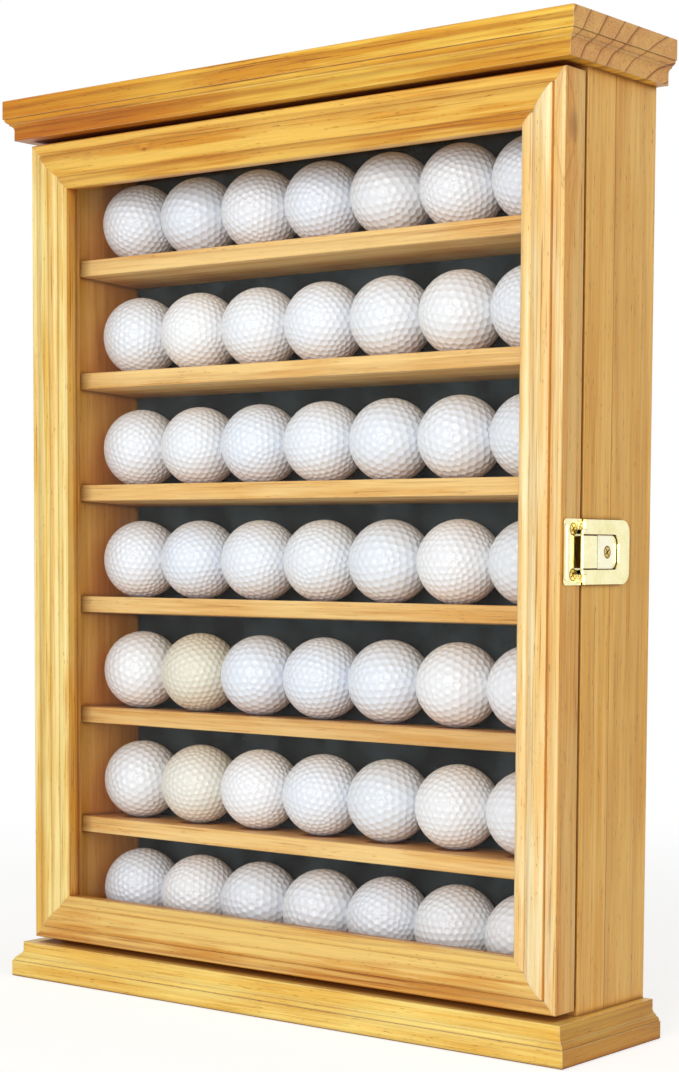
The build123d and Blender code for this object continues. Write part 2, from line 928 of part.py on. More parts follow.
with BuildPart() as pivots:
    for low, high in both_ways(lever_ear_top - pin_bite + pin_clearance, plate_ear_top):
        disc(pivot_x, pivot_d, pivot_radius, low, high)
save(pivots.part, "lever_pivots")

with BuildPart() as link:
    end_x = side_x + keeper_thickness + keeper_lip / 2
    half_thickness = link_thickness / 2
    with BuildSketch(Plane.XY.offset(latch_height - link_height / 2)):
        Polygon(
            (pivot_x - half_thickness, y_of(link_d)),
            (pivot_x + half_thickness, y_of(link_d)),
            (end_x + half_thickness, y_of(link_end_d)),
            (end_x - half_thickness, y_of(link_end_d)),
            align=None,
        )
        with Locations((pivot_x, y_of(link_d))):
            Circle(link_eye_radius)
            Circle(link_pin_radius + pin_clearance, mode=Mode.SUBTRACT)
    extrude(amount=link_height)
save(link.part, "latch_link")

link_pin_half = window_half + pin_bite - pin_clearance
with BuildPart() as link_pin:
    disc(pivot_x, link_d, link_pin_radius, -link_pin_half, link_pin_half)
save(link_pin.part, "link_pin")

with BuildPart() as keeper:
    with BuildSketch(Plane.YZ.offset(side_x)):
        with Locations((y_of((keeper_front + keeper_back) / 2), latch_height)):
            Rectangle(keeper_length, keeper_height)
        fillet(vertices().group_by(Axis.X)[-1], keeper_corner)
    extrude(amount=keeper_thickness)
    block(
        (side_x, side_x + keeper_thickness + keeper_lip),
        (keeper_front - lip_width, keeper_front),
        (latch_height - keeper_height / 2, latch_height + keeper_height / 2),
    )
    place_all(latch_hole, [keeper_screw_place], into_right_side, Mode.SUBTRACT)
save(keeper.part, "keeper_plate")
screw_group("keeper_screw", [(latch_screw, [keeper_screw_place])], into_right_side)


# Balls

for index in range(shelf_count + 1):
    ball_pitch = ball_diameter + ball_gap
    with BuildPart() as row:
        for column in range(balls_per_row):
            centre_x = row_shift + (column - (balls_per_row - 1) / 2) * ball_pitch
            with Locations((centre_x, y_of(ball_depth), ball_height(index))):
                Sphere(ball_radius)
    save(row.part, f"golf_balls_row_{index + 1}")
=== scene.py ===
import json
import math
import random

import bmesh
import bpy
from mathutils import Matrix, Vector


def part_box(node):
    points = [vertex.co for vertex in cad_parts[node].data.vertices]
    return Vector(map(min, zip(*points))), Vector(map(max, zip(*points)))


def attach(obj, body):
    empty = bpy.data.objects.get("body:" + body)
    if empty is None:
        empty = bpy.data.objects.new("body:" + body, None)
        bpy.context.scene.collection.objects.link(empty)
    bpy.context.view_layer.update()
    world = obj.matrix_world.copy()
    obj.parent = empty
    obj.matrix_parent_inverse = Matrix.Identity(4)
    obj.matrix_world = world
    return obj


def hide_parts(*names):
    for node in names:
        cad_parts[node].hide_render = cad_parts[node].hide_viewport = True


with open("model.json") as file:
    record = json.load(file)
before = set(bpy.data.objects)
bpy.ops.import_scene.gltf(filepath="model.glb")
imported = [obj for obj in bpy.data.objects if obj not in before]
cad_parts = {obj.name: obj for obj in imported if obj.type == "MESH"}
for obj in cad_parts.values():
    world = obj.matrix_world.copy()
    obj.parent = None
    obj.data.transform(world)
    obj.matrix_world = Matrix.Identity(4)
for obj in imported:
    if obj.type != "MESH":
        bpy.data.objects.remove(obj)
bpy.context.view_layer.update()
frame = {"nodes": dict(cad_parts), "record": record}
scene = bpy.context.scene
nodes = frame["nodes"]


def tint(code):  # a colour as a screen shows it, turned into the linear values that sockets take
    channels = [int(code[i:i + 2], 16) / 255 for i in (1, 3, 5)]
    return tuple(c / 12.92 if c <= 0.04045 else ((c + 0.055) / 1.055) ** 2.4 for c in channels) + (1.0,)


class Wire:  # an output socket that can be used in sums
    def __init__(self, shader, socket):
        self.shader = shader
        self.socket = socket

    def __add__(self, other):
        return self.shader.maths("ADD", self, other)

    def __sub__(self, other):
        return self.shader.maths("SUBTRACT", self, other)

    def __rsub__(self, other):
        return self.shader.maths("SUBTRACT", other, self)

    def __mul__(self, other):
        return self.shader.maths("MULTIPLY", self, other)

    def __truediv__(self, other):
        return self.shader.maths("DIVIDE", self, other)

    def __pow__(self, other):
        return self.shader.maths("POWER", self, other)

    def __abs__(self):
        return self.shader.maths("ABSOLUTE", self)

    __radd__ = __add__
    __rmul__ = __mul__

    def whole(self):
        return self.shader.maths("FLOOR", self)

    def fraction(self):
        return self.shader.maths("FRACT", self)

    def clamped(self):
        return self.shader.maths("ADD", self, 0.0, clamp=True)


class Shader:  # a material and the nodes in it
    def __init__(self, name, owner=None):
        self.owner = owner or bpy.data.materials.new(name)
        self.owner.use_nodes = True
        self.tree = self.owner.node_tree
        self.tree.nodes.clear()

    def node(self, kind, settings=None, sockets=None, output=0):
        made = self.tree.nodes.new(kind)
        for key, value in (settings or {}).items():
            if key == "stops":
                self.setStops(made.color_ramp, value)
            else:
                setattr(made, key, value)
        for key, value in (sockets or {}).items():
            if isinstance(value, Wire):
                self.tree.links.new(value.socket, made.inputs[key])
            else:
                made.inputs[key].default_value = value
        return Wire(self, made.outputs[output] if made.outputs else None)

    def maths(self, operation, *values, clamp=False):
        settings = {"operation": operation, "use_clamp": clamp}
        return self.node("ShaderNodeMath", settings, dict(enumerate(values)))

    def setStops(self, ramp, stops):
        while len(ramp.elements) < len(stops):
            ramp.elements.new(1.0)
        for element, (position, value) in zip(ramp.elements, stops):
            element.position = position
            element.color = (value, value, value, 1.0)

    def ramp(self, value, stops):
        return self.node("ShaderNodeValToRGB", {"stops": stops}, {0: value})

    def spot(self):  # the place on the object, in metres
        return self.node("ShaderNodeTexCoord", output="Object")

    def split(self, vector):
        parts = self.node("ShaderNodeSeparateXYZ", None, {0: vector})
        made = parts.socket.node
        return [Wire(self, made.outputs[i]) for i in range(3)]

    def join(self, x, y, z):
        return self.node("ShaderNodeCombineXYZ", None, {0: x, 1: y, 2: z})

    def noise(self, vector, detail=2.0, roughness=0.5, scale=1.0):
        sockets = {"Vector": vector, "Scale": scale, "Detail": detail, "Roughness": roughness}
        return self.node("ShaderNodeTexNoise", None, sockets)

    def blend(self, factor, first, second, way="MIX"):
        settings = {"data_type": "RGBA", "blend_type": way}
        return self.node("ShaderNodeMix", settings, {0: factor, 6: first, 7: second}, 2)

    def scaled(self, colour, factor):
        return self.node("ShaderNodeVectorMath", {"operation": "SCALE"}, {0: colour, "Scale": factor})

    def step(self, value, low, high):  # 0 below low, 1 above high, smooth between
        sockets = {0: value, 1: low, 2: high, 3: 0.0, 4: 1.0}
        return self.node("ShaderNodeMapRange", {"interpolation_type": "SMOOTHSTEP"}, sockets)

    def principled(self, sockets):
        surface = self.node("ShaderNodeBsdfPrincipled", None, sockets)
        self.node("ShaderNodeOutputMaterial", None, {"Surface": surface})
        return self.owner


def dress(name, material):  # puts one finish on a node of the frame
    materials = nodes[name].data.materials
    materials.clear()
    materials.append(material)


# Pine boards

pineLook = {
    "grain": "X",  # direction of the board's length
    "pith": (0.09, 0.36),  # middle of the tree, in the two directions across the grain
    "ringGap": 0.0065,
    "ringDepth": 0.45,
    "wander": 0.006,  # how far the rings stray
    "wobble": 0.0012,
    "seed": 0.0,
    "pale": "#F3C76C",
    "amber": "#DD9A3B",
    "late": "#A35C18",
    "pore": "#7A3F10",
    "pores": 0.55,
    "streaks": 1.0,
    "endWood": "#D4A060",  # colour where the grain is cut across
    "endDepth": 0.75,
    "pits": 0.35,
    "sideTone": None,  # multiplies the colour of faces that look to the left or right
    "farTone": None,  # multiplies the colour towards the left end
    "farReach": (0.06, -0.16),  # where that starts and where it is full
    "knots": (),  # along, across, across, radius, darkness
    "knotTone": "#7A431C",
    "lines": (),  # dark lines along the grain: place across it, half width, darkness
    "returns": None,  # half width and front edge of a board whose ends are mitred returns
    "returnDepth": 0.012,
    "shelteredShadeTone": "#F5BE90",  # multiplies the colour inside the case and under the boards, as painted shade
    "shelteredShadeDepth": 0.8,
    "shelteredShadeReach": 0.02,
    "creaseShade": 0.85,  # darkness of the painted shade in the moulding's inner corners
    "creaseShadeTone": "#74380C",
    "creaseShadeReach": 0.004,
    "arrisHighlightTone": "#FDEEC0",  # colour of the painted highlight along the outer corners
    "arrisHighlightDepth": 0.5,
    "arris": 0.0006,  # radius of the outer corners
    "relief": 0.0002,
}
grainFields = {  # fineness across and along the grain per metre, detail, roughness, shift
    "wander": (9, 2.2, 1.5, 0.5, 0.0),
    "ripple": (60, 9, 1.0, 0.5, 0.0),
    "fibre": (1500, 40, 2.0, 0.6, 0.0),
    "bands": (110, 4, 2.0, 0.5, 3.0),
    "streak": (430, 15, 3.0, 0.6, 5.0),
    "cloud": (30, 12, 2.0, 0.5, 7.0),
    "scratches": (1300, 17, 1.0, 0.5, 9.0),
    "pores": (2100, 230, 0.0, 0.5, 11.0),
}
softRings = ((0.0, 0.5), (0.05, 0.0), (0.5, 0.06), (0.82, 0.4), (0.94, 1.0), (1.0, 0.5))
sharpRings = ((0.0, 0.4), (0.03, 0.0), (0.80, 0.03), (0.90, 0.3), (0.955, 1.0), (1.0, 0.9))


class Board(Shader):  # the wood of one board, with its place along and across the grain
    def __init__(self, name, own):
        super().__init__(name)
        self.look = {**pineLook, **own}
        x, y, z = self.split(self.spot())
        normal = self.node("ShaderNodeTexCoord", output="Normal")
        nx, ny, nz = [abs(part) for part in self.split(normal)]
        self.fromMiddle = x
        self.frontOn = ny
        self.sideOn = nx / ((nx ** 2 + ny ** 2) ** 0.5 + 0.05)  # a moulded end counts as facing sideways
        directions = {"X": (x, y, z, self.sideOn), "Z": (z, x, y, nz)}
        self.along, self.left, self.up, endOn = directions[self.look["grain"]]
        if self.look["returns"]:
            endOn = endOn * (1 - self.turnGrain(x, y))
        self.end = self.step(endOn, 0.72, 0.86)  # 1 where the grain is cut across
        self.ripple = self.field("ripple") - 0.5

    def turnGrain(self, x, y):  # turns the grain on the returns at both ends, and gives where they are
        halfWidth, frontEdge = self.look["returns"]
        depth = self.look["returnDepth"]
        fromEnd = halfWidth - abs(x)
        turned = self.step(y - frontEdge - fromEnd, -0.0001, 0.0001)
        turned = turned * self.step(fromEnd, depth, depth - 0.0001)
        self.along = x * (1 - turned) + y * turned
        self.left = y * (1 - turned) + x * turned
        return turned

    def field(self, name):  # noise drawn out along the grain
        across, lengthways, detail, roughness, shift = grainFields[name]
        seed = self.look["seed"]
        place = (self.left * across + seed, self.up * across + shift, self.along * lengthways + seed)
        return self.noise(self.join(*place), detail, roughness)

    def rings(self):  # darkness of the late wood, and of the knots
        look, end = self.look, self.end
        pithLeft, pithUp = look["pith"]
        radius = ((self.left - pithLeft) ** 2 + (self.up - pithUp) ** 2) ** 0.5
        knotShade = 0.0
        for knotAlong, knotLeft, knotUp, size, dark in look["knots"]:  # rings bulge round a knot
            aside = (self.left - knotLeft) ** 2 + (self.up - knotUp) ** 2
            gap = ((self.along - knotAlong) ** 2 * 0.3 + aside) ** 0.5 + self.ripple * size * 1.5
            radius = radius + self.step(gap, size * 5, size * 0.6) * size * 1.6
            knotShade = self.step(gap, size * 1.5, size * 0.5) * dark + knotShade
        wander = (self.field("wander") - 0.5) * look["wander"] * (1 - end * 0.6)
        count = (radius + wander + self.ripple * look["wobble"]) / look["ringGap"]
        uneven = self.noise(self.join(count * 0.8 + look["seed"], 0.0, 0.0), 0.0) - 0.5
        count = count + uneven * 0.9
        strength = self.node("ShaderNodeTexWhiteNoise", {"noise_dimensions": "1D"}, {"W": count.whole()})
        phase = count.fraction()
        soft = self.ramp(phase, softRings) * (strength * 0.7 + 0.3) * (1 - end)
        sharp = self.ramp(phase, sharpRings) * (strength * 0.3 + 0.7) * end
        return soft + sharp, knotShade

    def shelter(self, reach):  # 1 in the open, less in corners nearer than reach; it sets where shade is painted
        return self.node("ShaderNodeAmbientOcclusion", {"samples": 8}, {"Distance": reach}, 1)

    def toned(self, colour):  # the colour after what depends on where a face is and how it looks, with painted shade inside the case and under the boards
        look = self.look
        if look["farTone"]:
            far = self.step(self.fromMiddle, *look["farReach"])
            colour = self.blend(far, colour, tint(look["farTone"]), "MULTIPLY")
        if look["sideTone"]:
            side = self.step(self.sideOn, 0.82, 0.92)
            colour = self.blend(side, colour, tint(look["sideTone"]), "MULTIPLY")
        # painted shade: a warm darker tone where nearby boards shade a face, inside the case and under the
        # boards
        shelteredShade = self.step(self.shelter(look["shelteredShadeReach"]), 0.75, 0.1) * (1 - self.frontOn)
        return self.blend(shelteredShade * look["shelteredShadeDepth"], colour, tint(look["shelteredShadeTone"]), "MULTIPLY")


def pine(name, **own):
    board = Board(name, own)
    look, end = board.look, board.end
    late, knotShade = board.rings()
    fibre = board.field("fibre") - 0.5
    streak = board.field("streak")
    scratches = board.step(board.field("scratches"), 0.60, 0.72)
    pores = board.step(board.field("pores"), 0.72, 0.80) * board.step(streak, 0.40, 0.60)
    pits = board.step(board.noise(board.spot(), 1.0, 0.5, 1500.0), 0.58, 0.72) * end

    mottle = board.field("bands") * 0.4 + streak * 0.35 + board.field("cloud") * 0.25
    warm = board.step((mottle - 0.5) * look["streaks"], -0.10, 0.10)
    colour = board.blend(warm, tint(look["pale"]), tint(look["amber"]))
    colour = board.blend(end * look["endDepth"], colour, tint(look["endWood"]))
    colour = board.blend((late * look["ringDepth"]).clamped(), colour, tint(look["late"]))
    colour = board.blend(scratches * (warm * 0.5 + 0.1) * look["streaks"], colour, tint(look["late"]))
    colour = board.scaled(colour, fibre * 0.30 + 1.0)
    holes = pores * (1 - end) * look["pores"] + pits * look["pits"]
    colour = board.blend(holes, colour, tint(look["pore"]))
    if look["knots"]:
        colour = board.blend(knotShade.clamped(), colour, tint(look["knotTone"]))
    for place, halfWidth, dark in look["lines"]:
        offLine = abs(board.up - place + board.ripple * 0.003)
        line = board.step(offLine, halfWidth, halfWidth * 0.3) * dark
        colour = board.blend(line, colour, tint(look["late"]))
    colour = board.toned(colour)

    # painted shade in the moulding's inner corners and between parts, which also turns rougher and loses its
    # coat there
    creaseShade = board.step(board.shelter(look["creaseShadeReach"]), 0.90, 0.35)
    colour = board.blend(creaseShade * look["creaseShade"], colour, tint(look["creaseShadeTone"]))
    rounded = board.node("ShaderNodeBevel", {"samples": 4}, {"Radius": look["arris"]})
    flat = board.node("ShaderNodeNewGeometry", output="Normal")
    agree = board.node("ShaderNodeVectorMath", {"operation": "DOT_PRODUCT"}, {0: rounded, 1: flat}, "Value")
    # painted highlight along the outer corners, kept out of the painted crease shade
    arrisHighlight = board.step(agree, 0.995, 0.85) * (1 - creaseShade)
    colour = board.blend(arrisHighlight * look["arrisHighlightDepth"], colour, tint(look["arrisHighlightTone"]))
    height = fibre * 0.5 - late * 0.35 - pores * 0.6 - scratches * 0.3 - pits * 0.4
    relief = {"Strength": 0.4, "Distance": look["relief"], "Height": height, "Normal": rounded}
    return board.principled({
        "Base Color": colour,
        "Roughness": 0.40 + fibre * 0.2 + end * 0.2 + creaseShade * 0.5,
        "Specular IOR Level": 0.28,
        "Normal": board.node("ShaderNodeBump", None, relief),
        "Coat Weight": (1 - creaseShade) * 0.08,
        "Coat Roughness": 0.2,
    })


baseLow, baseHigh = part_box("base_board")
boards = {
    "crown_board": {
        "grain": "X", "pith": (0.066, 0.400), "seed": 3.1,
        "ringGap": 0.0103, "ringDepth": 0.95, "streaks": 1.3,
        "pale": "#FCD25A", "amber": "#E2A02C", "late": "#8E4A18", "endWood": "#DCA46C", "farTone": "#E0B86A",
    },
    "base_board": {
        "grain": "X", "pith": (0.05, -0.10), "seed": 7.7, "ringGap": 0.0075, "ringDepth": 0.5,
        "pale": "#FFE484", "amber": "#EEBD52", "late": "#AD6622", "sideTone": "#D1B479",
        "returns": (baseHigh[0], baseLow[1]),
    },
    "side_panel_right": {
        "grain": "Z", "pith": (0.085, 0.024), "seed": 1.3,
        "ringGap": 0.0062, "ringDepth": 0.3, "streaks": 0.7, "pores": 0.6,
        "pale": "#F3C46C", "amber": "#E0A446",
        "lines": ((0.009, 0.0005, 0.7), (-0.0035, 0.0003, 0.4)),
    },
    "side_panel_left": {
        "grain": "Z", "pith": (-0.080, 0.010), "seed": 5.9,
        "ringGap": 0.0058, "ringDepth": 0.3, "streaks": 0.7, "pores": 0.6,
        "pale": "#ECBC64", "amber": "#D89C44",
    },
    "top_panel": {"seed": 21.0},
    "bottom_panel": {"pith": (0.02, -0.05), "seed": 23.0},
    "door_stile_right": {
        "grain": "Z", "pith": (0.120, 0.02), "seed": 2.4,
        "ringGap": 0.0055, "ringDepth": 0.38, "wander": 0.009, "streaks": 1.2, "creaseShade": 0.25,
        "pale": "#FFECB8", "amber": "#F6CA7C", "sideTone": "#E8CA9A",
        "knots": ((0.428, 0.173, -0.027, 0.0042, 0.45),),
    },
    "door_stile_left": {
        "grain": "Z", "pith": (-0.10, 0.03), "seed": 8.2,
        "ringGap": 0.0062, "ringDepth": 0.6, "streaks": 1.3, "creaseShade": 0.5,
        "pale": "#FAE598", "amber": "#EABC58", "sideTone": "#EAD0A4",
    },
    "door_rail_top": {
        "grain": "X", "pith": (0.035, 0.40), "seed": 4.6,
        "ringGap": 0.0070, "ringDepth": 0.7, "streaks": 1.4, "creaseShade": 0.5,
        "pale": "#F8CA60", "amber": "#DF9B30",
        "knots": ((-0.128, -0.034, 0.441, 0.0011, 0.7), (-0.086, -0.035, 0.443, 0.0011, 0.7)),
    },
    "door_rail_bottom": {
        "grain": "X", "pith": (0.030, 0.09), "seed": 6.3,
        "ringGap": 0.0066, "ringDepth": 0.7, "streaks": 1.4, "creaseShade": 0.5,
        "pale": "#F4CE78", "amber": "#DA9C42",
    },
}
shelfLook = {"pale": "#FCD68C", "amber": "#E8B05C"}
stripLooks = {"X": {"seed": 33.0}, "Z": {"grain": "Z", "pith": (0.10, 0.05), "seed": 31.0}}

for name, own in boards.items():
    dress(name, pine(name + "_pine", **own))
for number in range(1, 7):
    own = {"pith": (0.05 - 0.01 * number, 0.02 + 0.061 * number), "seed": 10.0 + 1.7 * number}
    dress(f"shelf_{number}", pine(f"shelf_{number}_pine", **shelfLook, **own))
stripPine = {grain: pine("stripPine" + grain, **own) for grain, own in stripLooks.items()}
for side, grain in (("top", "X"), ("bottom", "X"), ("left", "Z"), ("right", "Z")):
    dress(f"glazing_strip_{side}", stripPine[grain])
print("pine done")


# Back panel and its lining

plyLook = {
    "grain": "Z", "pith": (0.0, 0.30), "seed": 41.0, "ringGap": 0.004, "ringDepth": 0.35, "pores": 0.3,
    "pale": "#DDBB85", "amber": "#CFA166", "late": "#B5824A",
}
feltLook = {
    "dark": "#10181A",
    "light": "#404C50",
    "lint": "#7E8C8E",
    "tuft": 900.0,  # fineness of the nap, the lint and the clouds, per metre
    "tangle": 420.0,
    "cloud": 34.0,
}


def felt():
    shader = Shader("felt")
    spot = shader.spot()
    nap = shader.noise(spot, 4.0, 0.7, feltLook["tuft"])
    lint = shader.step(shader.noise(spot, 2.0, 0.6, feltLook["tangle"]), 0.62, 0.76)
    cloud = shader.noise(spot, 3.0, 0.6, feltLook["cloud"])
    shade = shader.step(nap * 0.45 + cloud * 0.55, 0.40, 0.60)
    colour = shader.blend(shade, tint(feltLook["dark"]), tint(feltLook["light"]))
    colour = shader.blend(lint * 0.35, colour, tint(feltLook["lint"]))
    bump = shader.node("ShaderNodeBump", None, {"Strength": 0.6, "Distance": 0.0004, "Height": nap})
    return shader.principled({"Base Color": colour, "Roughness": 0.95, "Sheen Weight": 0.15, "Normal": bump})


dress("back_panel", pine("plywood", **plyLook))
dress("back_lining", felt())
print("back done")


# Balls

ballLook = {
    "seed": 11,
    "rows": 7,
    "perRow": 7,
    "patterns": (6, 7),  # cuts along each edge of the icosahedron before it is rounded
    "dimpleShare": 0.93,  # dimple radius as a share of half its cell's width
    "dimpleDepth": 0.00046,
    "dimpleRings": ((1.0, 0.0), (0.78, 0.5), (0.42, 0.88)),  # shares of the dimple's radius and depth
    "turn": 6.28,  # largest turn of a ball about its drawn axis
    "white": "#F8FBFF",
    "bluish": "#EAF3FF",
    "yellowed": "#E9E6D2",
    "age": 0.12,  # most that an ordinary ball has yellowed
    "creamy": {(3, 1): 0.9, (2, 1): 0.6},  # row and place of the yellowed balls
}


def dimplePattern(cuts):  # evenly spread unit vectors, each with the corners of the cell round it
    mesh = bmesh.new()
    bmesh.ops.create_icosphere(mesh, subdivisions=1, radius=1.0)
    bmesh.ops.subdivide_edges(mesh, edges=mesh.edges[:], cuts=cuts - 1, use_grid_fill=True)
    mesh.verts.index_update()
    mesh.faces.index_update()
    for vert in mesh.verts:
        vert.co.normalize()
    cells = []
    for vert in mesh.verts:
        middle = vert.co.normalized()
        side = middle.orthogonal().normalized()
        other = middle.cross(side)
        corners = [(face.index, face.calc_center_median().normalized()) for face in vert.link_faces]
        corners.sort(key=lambda corner: math.atan2(corner[1].dot(other), corner[1].dot(side)))
        cells.append((middle.copy(), corners))
    mesh.free()
    return cells


def cellOutline(corners):  # corners and edge middles round a cell, each with a key that its neighbours share
    outline = []
    for i, (index, corner) in enumerate(corners):
        following, nextCorner = corners[(i + 1) % len(corners)]
        outline.append((("corner", index), corner))
        key = ("edge", min(index, following), max(index, following))
        outline.append((key, ((corner + nextCorner) / 2).normalized()))
    return outline


def dimpledBall(cuts, depth):  # points and faces of a ball of radius 1
    points, faces, shared = [], [], {}

    def point(key, place):
        if key not in shared:
            shared[key] = len(points)
            points.append(place)
        return shared[key]

    for number, (middle, corners) in enumerate(dimplePattern(cuts)):
        outline = cellOutline(corners)
        rings = [[point(key, place) for key, place in outline]]
        reach = ballLook["dimpleShare"] * min(math.acos(middle.dot(place)) for key, place in outline)
        for share, sink in ballLook["dimpleRings"]:
            ring = []
            for i, (key, place) in enumerate(outline):
                away = (place - middle * place.dot(middle)).normalized()
                spread = reach * share
                aim = middle * math.cos(spread) + away * math.sin(spread)
                ring.append(point((number, share, i), aim * (1 - depth * sink)))
            rings.append(ring)
        bottom = point((number, "bottom"), middle * (1 - depth))
        size = len(outline)
        for outer, inner in zip(rings, rings[1:]):
            for i in range(size):
                j = (i + 1) % size
                faces.append((outer[i], outer[j], inner[j], inner[i]))
        for i in range(size):
            faces.append((rings[-1][i], rings[-1][(i + 1) % size], bottom))
    return points, faces


def ballFinish():
    shader = Shader("ballCover")
    age = shader.node("ShaderNodeAttribute", {"attribute_name": "age"}, None, "Fac")
    cool = shader.node("ShaderNodeAttribute", {"attribute_name": "cool"}, None, "Fac")
    scuff = shader.noise(shader.spot(), 3.0, 0.6, 160.0)
    colour = shader.blend(cool, tint(ballLook["white"]), tint(ballLook["bluish"]))
    colour = shader.blend(age, colour, tint(ballLook["yellowed"]))
    colour = shader.scaled(colour, 0.97 + scuff * 0.05)
    return shader.principled({
        "Base Color": colour,
        "Roughness": 0.22 + scuff * 0.2,
        "Coat Weight": 0.3,
        "Coat Roughness": 0.1,
    })


def ballRow(number, patterns, finish, draw):
    low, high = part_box(f"golf_balls_row_{number}")
    radius = (high[2] - low[2]) / 2
    pitch = (high[0] - low[0] - 2 * radius) / (ballLook["perRow"] - 1)
    points, faces, ages, cools = [], [], [], []
    for place in range(ballLook["perRow"]):
        shape, sides = draw.choice(patterns)
        angle = draw.uniform(0, ballLook["turn"])
        axis = Vector([draw.gauss(0, 1) for _ in range(3)]).normalized()
        turn = Matrix.Rotation(angle, 3, axis)
        centre = Vector((low[0] + radius + pitch * place, (low[1] + high[1]) / 2, low[2] + radius))
        start = len(points)
        points += [centre + turn @ spot * radius for spot in shape]
        faces += [tuple(start + i for i in side) for side in sides]
        age = draw.uniform(0.0, ballLook["age"])
        age = ballLook["creamy"].get((number, place), age)
        ages += [age] * len(shape)
        cools += [draw.random() * (1 - age)] * len(shape)
    mesh = bpy.data.meshes.new(f"balls_{number}")
    mesh.from_pydata(points, [], faces)
    mesh.polygons.foreach_set("use_smooth", [True] * len(faces))
    for label, values in (("age", ages), ("cool", cools)):
        mesh.attributes.new(label, "FLOAT", "POINT").data.foreach_set("value", values)
    mesh.materials.append(finish)
    row = bpy.data.objects.new(f"balls_row_{number}", mesh)
    scene.collection.objects.link(row)
    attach(row, "case")
    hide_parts(f"golf_balls_row_{number}")


ballDraw = random.Random(ballLook["seed"])
ballLow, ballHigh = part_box("golf_balls_row_1")
relativeDepth = ballLook["dimpleDepth"] / ((ballHigh[2] - ballLow[2]) / 2)
unitBalls = [dimpledBall(cuts, relativeDepth) for cuts in ballLook["patterns"]]
cover = ballFinish()
for number in range(1, ballLook["rows"] + 1):
    ballRow(number, unitBalls, cover, ballDraw)
print("balls done")


# Glass, brass and steel

glassLook = {"clear": 0.008, "sheen": 0.5, "smudge": 0.02, "smear": 14.0}
metalLook = {
    "roughness": 0.22,
    "brushed": 0.15,
    # painted shade in the hollows of the metal: its strength, tone and reach
    "hollowShade": 0.7,
    "hollowShadeTone": "#4E3C16",
    "hollowShadeReach": 0.0015,
    # painted shade round the screw heads: its tone and strength
    "rimShadeTone": "#4A2C0E",
    "rimShadeDepth": 0.85,
    "arris": 0.0003,
    "relief": 0.00005,
}
metalLooks = {
    "polishedBrass": {"bright": "#FFF8C6", "deep": "#EAD888", "roughness": 0.10},
    "paleBrass": {"bright": "#FFFBE0", "deep": "#FFF8C6", "roughness": 0.14},
    "screwBrass": {"bright": "#E6C878", "deep": "#8A6226", "brushed": 0.1, "hollowShade": 1.0},
    "zincSteel": {"bright": "#C9C9C4", "deep": "#8F8F8C", "roughness": 0.28, "brushed": 0.3},
}


def glass():
    shader = Shader("paneGlass")
    smear = shader.step(shader.noise(shader.spot(), 3.0, 0.6, glassLook["smear"]), 0.62, 0.8)
    slant = shader.node("ShaderNodeLayerWeight", None, {"Blend": 0.5}, "Facing")
    alpha = glassLook["clear"] + slant ** 5 * glassLook["sheen"] + smear * glassLook["smudge"]
    return shader.principled({
        "Base Color": (1.0, 1.0, 1.0, 1.0),
        "Metallic": 1.0,
        "Roughness": 0.03 + smear * 0.2,
        "Alpha": alpha,
    })


def metal(name, kind, heads=()):
    look = {**metalLook, **metalLooks[kind]}
    shader = Shader(name)
    spot = shader.spot()
    x, y, z = shader.split(spot)
    cloud = shader.noise(spot, 3.0, 0.6, 120.0)
    lines = shader.noise(shader.join(x * 300, y * 300, z * 9000), 2.0, 0.6)
    wear = shader.step(cloud, 0.35, 0.75)
    # painted shade in the hollows and gaps near the metal
    hollow = shader.node("ShaderNodeAmbientOcclusion", {"samples": 8}, {"Distance": look["hollowShadeReach"]}, 1)
    hollowShade = (shader.step(hollow, 0.95, 0.3) * look["hollowShade"]).clamped()
    colour = shader.blend(wear * 0.4, tint(look["bright"]), tint(look["deep"]))
    colour = shader.blend(hollowShade, colour, tint(look["hollowShadeTone"]))
    for middleY, middleZ, radius in heads:  # painted shade round the rims of screws that look sideways
        gap = ((y - middleY) ** 2 + (z - middleZ) ** 2) ** 0.5
        rimShade = shader.step(gap, radius * 0.68, radius * 0.92) * shader.step(gap, radius * 1.2, radius * 1.05)
        colour = shader.blend(rimShade * look["rimShadeDepth"], colour, tint(look["rimShadeTone"]))
    rounded = shader.node("ShaderNodeBevel", {"samples": 4}, {"Radius": look["arris"]})
    relief = {"Strength": look["brushed"], "Distance": look["relief"], "Height": lines, "Normal": rounded}
    return shader.principled({
        "Base Color": colour,
        "Metallic": 1.0,
        "Roughness": look["roughness"] + cloud * 0.12,
        "Normal": shader.node("ShaderNodeBump", None, relief),
    })


def rimShadedScrews(name, count):  # finish of one screw, or of two with one above the other, with painted shade round each head's rim
    low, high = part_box(name)
    radius = (high[1] - low[1]) / 2
    heights = [low[2] + radius, high[2] - radius][:count]
    heads = [((low[1] + high[1]) / 2, height, radius) for height in heights]
    return metal(name + "_brass", "screwBrass", heads)


brass = metal("polishedBrass", "polishedBrass")
screwBrass = metal("screwBrass", "screwBrass")
steel = metal("zincSteel", "zincSteel")
latchFinishes = {
    "keeper_plate": metal("paleBrass", "paleBrass"),
    "keeper_screw": rimShadedScrews("keeper_screw", 1),
    "latch_plate_screws": rimShadedScrews("latch_plate_screws", 2),
}
dress("door_glass", glass())
for entry in frame["record"]["subparts"]:
    name, slot = entry["node"], entry["material_slot"]
    if slot == "brass":
        dress(name, latchFinishes.get(name, screwBrass if "screw" in name else brass))
    elif slot == "steel":
        dress(name, steel)
print("metal and glass done")


# Studio

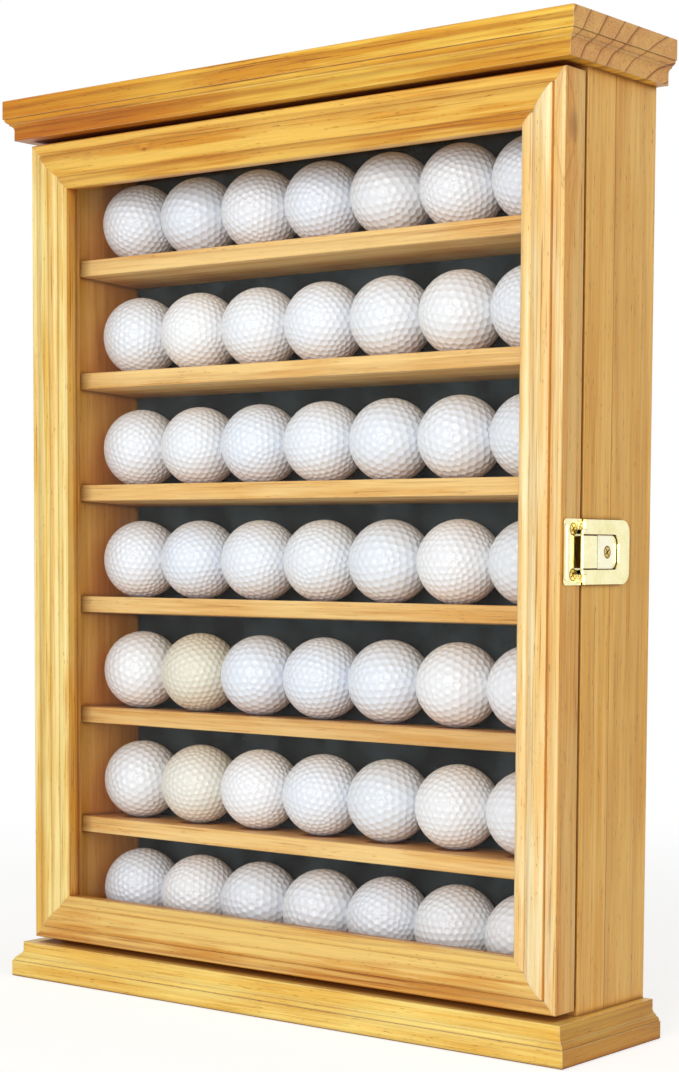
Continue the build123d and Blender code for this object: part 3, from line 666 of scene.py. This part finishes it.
studio = {
    "floorSize": 12.0,
    "floorDrop": 0.0002,  # keeps the floor clear of the base's underside
    "ambient": 0.45,
    "floor": "#F4F4F2",
    "floorGrain": "#EEEEEC",
    "floorGlow": 0.45,
    "nearGlow": 0.35,
    "glowReach": (0.30, 0.95),  # distance at which the floor starts to turn white, and at which it is
}
lamps = {
    "key": {"place": (0.75, -2.6, 0.62), "aim": (0.0, 0.0, 0.22), "size": 1.6, "power": 42.0},
    "fill": {"place": (2.6, -0.6, 0.9), "aim": (0.1, 0.0, 0.24), "size": 1.8, "power": 13.0},
}
camera = {
    "place": (0.73366, -0.90422, 0.23591),
    "yaw": 38.418,
    "pitch": 4.222,
    "roll": 0.274,
    "lens": 75.998,
    "shiftY": 0.1699,
}


def seenDirectly(shader):  # 1 for what the camera sees, straight or through metal and glass
    path = shader.node("ShaderNodeLightPath")
    outputs = path.socket.node.outputs
    rays = [Wire(shader, outputs[key]) for key in ("Is Camera Ray", "Is Glossy Ray", "Is Transmission Ray")]
    return (rays[0] + rays[1] + rays[2]).clamped()


def floorFinish():
    shader = Shader("floorPaper")
    x, y, z = shader.split(shader.spot())
    away = (x ** 2 + y ** 2) ** 0.5
    grain = shader.noise(shader.spot(), 2.0, 0.5, 40.0)
    colour = shader.blend(grain, tint(studio["floor"]), tint(studio["floorGrain"]))
    paper = {"Base Color": colour, "Roughness": 0.9, "Specular IOR Level": 0.0}
    glow = {"Emission Color": (1.0, 1.0, 1.0, 1.0), "Emission Strength": studio["floorGlow"]}
    plain = shader.node("ShaderNodeBsdfPrincipled", None, paper)
    glowing = shader.node("ShaderNodeBsdfPrincipled", None, {**paper, **glow})
    white = shader.node("ShaderNodeEmission", None, {"Color": (1.0, 1.0, 1.0, 1.0), "Strength": 1.0})
    seen = seenDirectly(shader)
    near = shader.node("ShaderNodeMixShader", None, {0: seen, 1: plain, 2: glowing})
    far = shader.step(away, *studio["glowReach"]) * (1 - studio["nearGlow"]) + studio["nearGlow"]
    surface = shader.node("ShaderNodeMixShader", None, {0: far * seen, 1: near, 2: white})
    shader.node("ShaderNodeOutputMaterial", None, {"Surface": surface})
    return shader.owner


def makeFloor():
    mesh = bmesh.new()
    bmesh.ops.create_grid(mesh, x_segments=8, y_segments=8, size=studio["floorSize"] / 2)
    data = bpy.data.meshes.new("floor")
    mesh.to_mesh(data)
    mesh.free()
    data.materials.append(floorFinish())
    floor = bpy.data.objects.new("floor", data)
    scene.collection.objects.link(floor)
    floor.location.z = -studio["floorDrop"]


def makeWorld():
    world = bpy.data.worlds.new("studio")
    scene.world = world
    shader = Shader("studio", world)
    strength = seenDirectly(shader) * (1 - studio["ambient"]) + studio["ambient"]
    sky = {"Color": (1.0, 1.0, 1.0, 1.0), "Strength": strength}
    surface = shader.node("ShaderNodeBackground", None, sky)
    shader.node("ShaderNodeOutputWorld", None, {"Surface": surface})


def makeLamps():
    for name, lamp in lamps.items():
        light = bpy.data.lights.new(name, "AREA")
        light.shape = "SQUARE"
        light.size = lamp["size"]
        light.energy = lamp["power"]
        holder = bpy.data.objects.new(name, light)
        scene.collection.objects.link(holder)
        place = Vector(lamp["place"])
        holder.location = place
        holder.rotation_euler = (Vector(lamp["aim"]) - place).to_track_quat("-Z", "Y").to_euler()


def makeCamera():
    data = bpy.data.cameras.new("camera")
    data.lens = camera["lens"]
    data.sensor_width = 36.0
    data.shift_y = camera["shiftY"]
    data.clip_start = 0.01
    holder = bpy.data.objects.new("camera", data)
    scene.collection.objects.link(holder)
    turn = Matrix.Rotation(math.radians(camera["yaw"]), 4, "Z")
    turn = turn @ Matrix.Rotation(math.radians(90 - camera["pitch"]), 4, "X")
    turn = turn @ Matrix.Rotation(math.radians(camera["roll"]), 4, "Z")
    holder.matrix_world = Matrix.Translation(camera["place"]) @ turn
    scene.camera = holder


makeFloor()
makeWorld()
makeLamps()
makeCamera()
scene.view_settings.view_transform = "Standard"
print("studio done")
